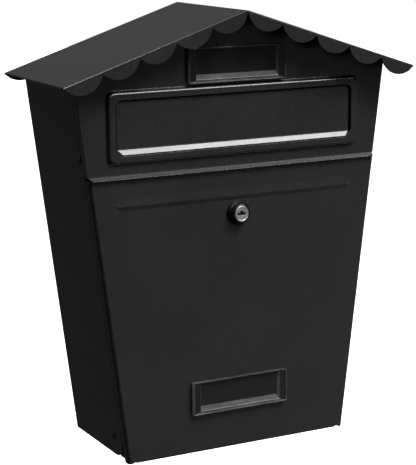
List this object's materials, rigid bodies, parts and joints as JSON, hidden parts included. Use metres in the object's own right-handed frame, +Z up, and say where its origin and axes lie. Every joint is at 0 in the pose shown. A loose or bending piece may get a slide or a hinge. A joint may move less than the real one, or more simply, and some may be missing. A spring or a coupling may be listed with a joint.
{
  "type": "wall mounted mailbox",
  "caption": "Tapered sheet-steel wall mailbox with a gabled roof with scalloped edges, a hinged letter flap, a keyed front door that tips forward, and clear name plate holders.",
  "frame": {"origin": "on the back panel's outer face, which lies against the wall, midway between the sides and 200 mm above the door's bottom edge", "axes": "+Z up the wall, +Y into the wall, -Y out of the front, +X to the right when facing the mailbox"},
  "size_m": [0.35, 0.1388, 0.4018],
  "materials": {
    "black_paint": "smooth satin black powder coat",
    "zinc_steel": "zinc plated steel",
    "black_plastic": "moulded black plastic",
    "clear_plastic": "clear glossy plastic",
    "nickel": "nickel plated lock face"
  },
  "bodies": {
    "box": {"roof": "black_paint", "back_panel": "black_paint", "bottom_tray": "black_paint", "side_panel_left": "black_paint", "side_panel_right": "black_paint", "upper_front_panel": "black_paint", "cross_rail": "black_paint", "flap_rod": "zinc_steel", "flap_bracket_left": "zinc_steel", "flap_bracket_right": "zinc_steel", "hinge_pin_left": "black_paint", "hinge_pin_right": "black_paint", "side_rivet_left": "black_paint", "side_rivet_right": "black_paint", "gable_plate_frame": "black_plastic", "gable_plate_window": "clear_plastic"},
    "door": {"door": "black_paint", "hinge_ear_left": "black_paint", "hinge_ear_right": "black_paint", "lock_body": "black_plastic", "lock_nut": "zinc_steel", "door_plate_frame": "black_plastic", "door_plate_window": "clear_plastic"},
    "lock_rotor": {"lock_plug": "nickel", "lock_cam": "zinc_steel", "cam_screw": "zinc_steel"},
    "flap": {"letter_flap": "black_paint"}
  },
  "joints": [
    {"name": "door_hinge", "type": "hinge", "parent": "box", "child": "door", "pos_m": [0, -0.091, -0.1794], "axis": [1, 0, 0], "range_deg": [0, 85]},
    {"name": "lock_turn", "type": "hinge", "parent": "door", "child": "lock_rotor", "pos_m": [0, -0.1264, 0.0198], "axis": [0, -1, 0], "range_deg": [0, 90]},
    {"name": "flap_hinge", "type": "hinge", "parent": "box", "child": "flap", "pos_m": [0, -0.1135, 0.1245], "axis": [-1, 0, 0], "range_deg": [0, 70]}
  ]
}
